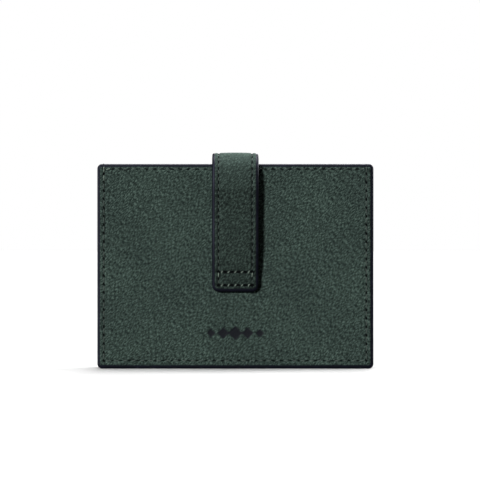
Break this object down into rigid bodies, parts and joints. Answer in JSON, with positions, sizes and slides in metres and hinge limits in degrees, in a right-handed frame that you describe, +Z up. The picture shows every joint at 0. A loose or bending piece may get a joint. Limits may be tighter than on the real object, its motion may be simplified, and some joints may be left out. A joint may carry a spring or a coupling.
{
  "type": "card holder",
  "caption": "Upright accordion card holder with two stitched covers, side pleats and a magnetic strap that closes over the top.",
  "frame": {"origin": "centre of the base of the closed holder's bounding box", "axes": "+Z up, the front cover and the strap's tip face -Y, +X to the right seen from the front"},
  "size_m": [0.104, 0.016, 0.0814],
  "materials": {
    "suede": "dark green nubuck with a short directional nap, matte",
    "lining": "thin smooth leather in a darker green, matte",
    "edge_paint": "navy black edge paint, satin, slightly domed",
    "thread": "twisted polyester thread in the colour of the leather",
    "board": "stiff bonded fibre board",
    "magnet": "nickel plated magnet and steel plate"
  },
  "bodies": {
    "back_cover": {"back_face_leather": "suede", "back_stiffener": "board", "back_lining": "lining", "back_edge_coat": "edge_paint", "back_seam_thread": "thread", "strap_anchor_leather": "suede", "strap_anchor_lining": "lining", "strap_anchor_edge_coat": "edge_paint", "strap_anchor_thread": "thread", "strap_anchor_box_thread": "thread", "gusset_left_1": "lining", "gusset_right_1": "lining", "pocket_floor_1": "lining"},
    "leaf_1": {"divider_1_rear_ply": "lining", "divider_1_front_ply": "lining", "gusset_left_2": "lining", "gusset_right_2": "lining", "pocket_floor_2": "lining"},
    "leaf_2": {"divider_2_rear_ply": "lining", "divider_2_front_ply": "lining", "gusset_left_3": "lining", "gusset_right_3": "lining", "pocket_floor_3": "lining"},
    "leaf_3": {"divider_3_rear_ply": "lining", "divider_3_front_ply": "lining", "gusset_left_4": "lining", "gusset_right_4": "lining", "pocket_floor_4": "lining"},
    "leaf_4": {"divider_4_rear_ply": "lining", "divider_4_front_ply": "lining", "gusset_left_5": "lining", "gusset_right_5": "lining", "pocket_floor_5": "lining"},
    "front_cover": {"front_face_leather": "suede", "front_stiffener": "board", "front_lining": "lining", "front_edge_coat": "edge_paint", "front_seam_thread": "thread", "front_magnet_plate": "magnet"},
    "strap_bridge": {"strap_bridge_leather": "suede", "strap_bridge_lining": "lining", "strap_bridge_edge_coat": "edge_paint", "strap_bridge_thread": "thread"},
    "strap_curl": {"strap_curl_leather": "suede", "strap_curl_lining": "lining", "strap_curl_edge_coat": "edge_paint", "strap_curl_thread": "thread"},
    "strap_tongue": {"strap_tongue_leather": "suede", "strap_tongue_lining": "lining", "strap_tongue_edge_coat": "edge_paint", "strap_tongue_thread": "thread", "strap_tip_box_thread": "thread", "strap_magnet": "magnet"}
  },
  "joints": [
    {"name": "strap_lift", "type": "hinge", "parent": "back_cover", "child": "strap_bridge", "pos_m": [0, 0.00651, 0.07996], "axis": [-1, 0, 0], "range_deg": [0, 85]},
    {"name": "strap_crown_bend", "type": "hinge", "parent": "strap_bridge", "child": "strap_curl", "pos_m": [0, -0.003, 0.08038], "axis": [-1, 0, 0], "range_deg": [0, 36.6]},
    {"name": "strap_front_bend", "type": "hinge", "parent": "strap_curl", "child": "strap_tongue", "pos_m": [0, -0.00652, 0.07654], "axis": [-1, 0, 0], "range_deg": [0, 36.6]},
    {"name": "pocket_fan_1", "type": "hinge", "parent": "back_cover", "child": "leaf_1", "pos_m": [0, -0.00393, 0.0005], "axis": [1, 0, 0], "range_deg": [0, 3.22], "deforming": ["gusset_left_1", "gusset_right_1"]},
    {"name": "pocket_fan_2", "type": "hinge", "parent": "leaf_1", "child": "leaf_2", "pos_m": [0, -0.00393, 0.0005], "axis": [1, 0, 0], "range_deg": [0, 3.22], "deforming": ["gusset_left_2", "gusset_right_2"]},
    {"name": "pocket_fan_3", "type": "hinge", "parent": "leaf_2", "child": "leaf_3", "pos_m": [0, -0.00393, 0.0005], "axis": [1, 0, 0], "range_deg": [0, 3.22], "deforming": ["gusset_left_3", "gusset_right_3"]},
    {"name": "pocket_fan_4", "type": "hinge", "parent": "leaf_3", "child": "leaf_4", "pos_m": [0, -0.00393, 0.0005], "axis": [1, 0, 0], "range_deg": [0, 3.22], "deforming": ["gusset_left_4", "gusset_right_4"]},
    {"name": "pocket_fan_5", "type": "hinge", "parent": "leaf_4", "child": "front_cover", "pos_m": [0, -0.00393, 0.0005], "axis": [1, 0, 0], "range_deg": [0, 3.22], "deforming": ["gusset_left_5", "gusset_right_5"]}
  ],
  "couplings": [
    {"joint": "strap_crown_bend", "follows": "strap_lift", "ratio": 0.43},
    {"joint": "strap_front_bend", "follows": "strap_lift", "ratio": 0.43},
    {"joint": "pocket_fan_1", "follows": "strap_lift", "ratio": 0.03765},
    {"joint": "pocket_fan_2", "follows": "strap_lift", "ratio": 0.03765},
    {"joint": "pocket_fan_3", "follows": "strap_lift", "ratio": 0.03765},
    {"joint": "pocket_fan_4", "follows": "strap_lift", "ratio": 0.03765},
    {"joint": "pocket_fan_5", "follows": "strap_lift", "ratio": 0.03765}
  ]
}
